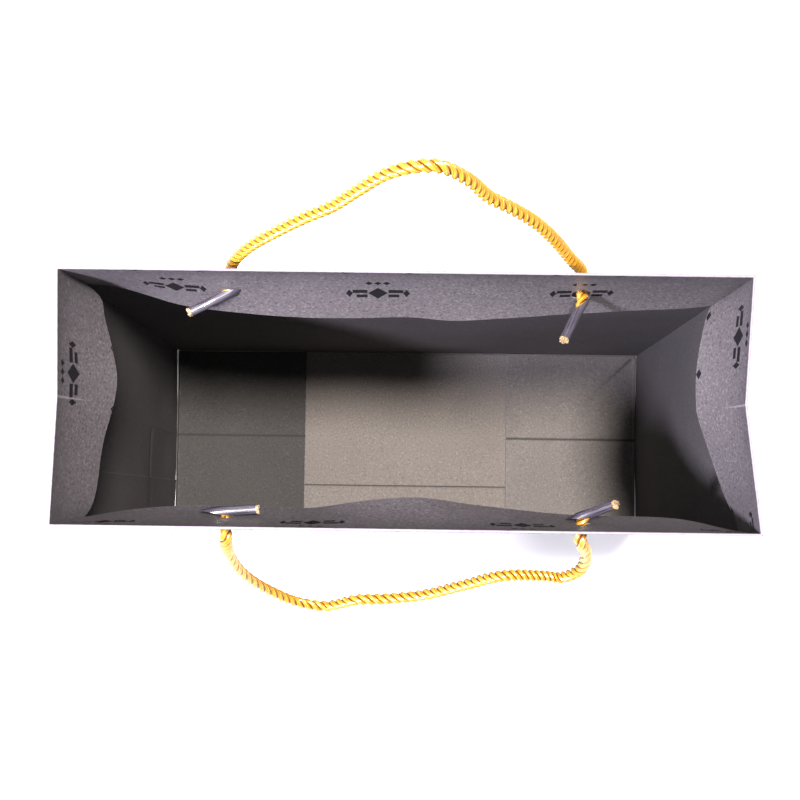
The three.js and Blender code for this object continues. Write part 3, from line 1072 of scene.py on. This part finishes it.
def cord_tip(name, body):
    """The film sleeve pressed on a cord's end, and the fibres that stand out of it."""
    lip, axis, length, open_side = tip_frame(name)
    across = axis.cross(open_side)
    slant = TIPS[name]["slant"]
    around, rows = 40, 44
    places, faces, uvs = [], [], []
    for j in range(rows + 1):
        for i in range(around):
            angle = 2 * math.pi * i / around
            opened = (1 + math.cos(angle)) / 2
            start = slant * opened**1.35
            v = start + (length - start) * j / rows
            flare = ramp(slant - v, -0.002, slant)
            radius = TIP_RADIUS + (MOUTH_RADIUS - TIP_RADIUS) * flare
            radius += 0.00009 * noise.noise(Vector((math.cos(angle) * 2.4, math.sin(angle) * 2.4, v * 160)))
            pressed = 1 - 0.30 * ramp(slant * 0.45 - v, -0.001, slant * 0.45)
            out = open_side * math.cos(angle) * radius * pressed + across * math.sin(angle) * radius
            sag = open_side * 0.0007 * ramp(slant - v, 0, slant)
            places.append(lip + axis * v + out + sag)
            uvs.append((i / around, v))
    for j in range(rows):
        for i in range(around):
            following = (i + 1) % around
            low, high = j * around, (j + 1) * around
            faces.append((low + i, low + following, high + following, high + i))
    sleeve = thick_sheet(f"{name}_tip_sleeve", places, faces, uvs, FILM_THICKNESS, [FILM, FILM, FILM])
    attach(sleeve, body)
    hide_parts(f"{name}_cord_tip")
    fibres = fibre_end(name, lip + axis * length, axis, open_side, across)
    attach(fibres, body)
    return sleeve, fibres


def fibre_end(name, cut, axis, first, second):
    """Three short tufts, one for each strand, spread a little past the sleeve."""
    profile = lobe_profile()
    count = len(profile)
    seed = sum(map(ord, name))
    places = []
    for row, (out, share) in enumerate(FIBRE_RINGS):
        for k, (angle, reach, _) in enumerate(profile):
            ragged = noise.noise(Vector((math.cos(angle) * 5, math.sin(angle) * 5, seed + row * 0.4)))
            radius = reach * share * (1 + 0.16 * ragged * (row > 1))
            lift = out + 0.0005 * ragged * (row > 2)
            places.append(cut + axis * lift + (first * math.cos(angle) + second * math.sin(angle)) * radius)
    faces = []
    for row in range(len(FIBRE_RINGS) - 1):
        low, high = row * count, (row + 1) * count
        for k in range(count):
            following = (k + 1) % count
            faces.append((low + k, low + following, high + following, high + k))
    faces.append(tuple(range(count))[::-1])
    faces.append(tuple((len(FIBRE_RINGS) - 1) * count + k for k in range(count)))
    corner_uvs = [(places[k].x, places[k].z) for face in faces for k in face]
    return mesh_object(f"{name}_cord_fibres", places, faces, corner_uvs, [0] * len(faces), [FIBRES], {})


handle_cord("rear", "rear_side", REAR_LAY)
handle_cord("front", "front_side", FRONT_LAY)

# ---------- Stage and light ----------


def make_floor():
    n = Nodes("studio_floor")
    n.finish(Base_Color=(0.78, 0.78, 0.785, 1), Roughness=0.8)
    mesh = bpy.data.meshes.new("studio_floor")
    half = 3.0
    corners = [(-half, -half, 0), (half, -half, 0), (half, half, 0), (-half, half, 0)]
    mesh.from_pydata(corners, [], [(0, 1, 2, 3)])
    mesh.materials.append(n.material)
    floor = link(bpy.data.objects.new("studio_floor", mesh))
    floor.location.z = -0.0002


def area_light(name, place, target, size, power, colour):
    data = bpy.data.lights.new(name, "AREA")
    data.shape = "DISK"
    data.size = size
    data.energy = power
    data.color = colour
    lamp = link(bpy.data.objects.new(name, data))
    lamp.location = place
    lamp.rotation_mode = "QUATERNION"
    lamp.rotation_quaternion = (Vector(place) - Vector(target)).to_track_quat("Z", "Y")


def make_lights():
    world = bpy.data.worlds.new("studio")
    world.use_nodes = True
    background = world.node_tree.nodes["Background"]
    background.inputs["Color"].default_value = (0.97, 0.98, 1.0, 1)
    background.inputs["Strength"].default_value = 0.46
    bpy.context.scene.world = world
    bpy.context.scene.view_settings.view_transform = "Standard"
    area_light("key", (-0.322, -0.139, 0.745), (0.04, 0.02, 0.28), 0.055, 9.0, (0.92, 0.88, 1.0))
    area_light("overhead", (0.180, 0.158, 2.4), (0, 0, 0), 0.26, 136, (1.0, 0.92, 0.86))


make_floor()
make_lights()
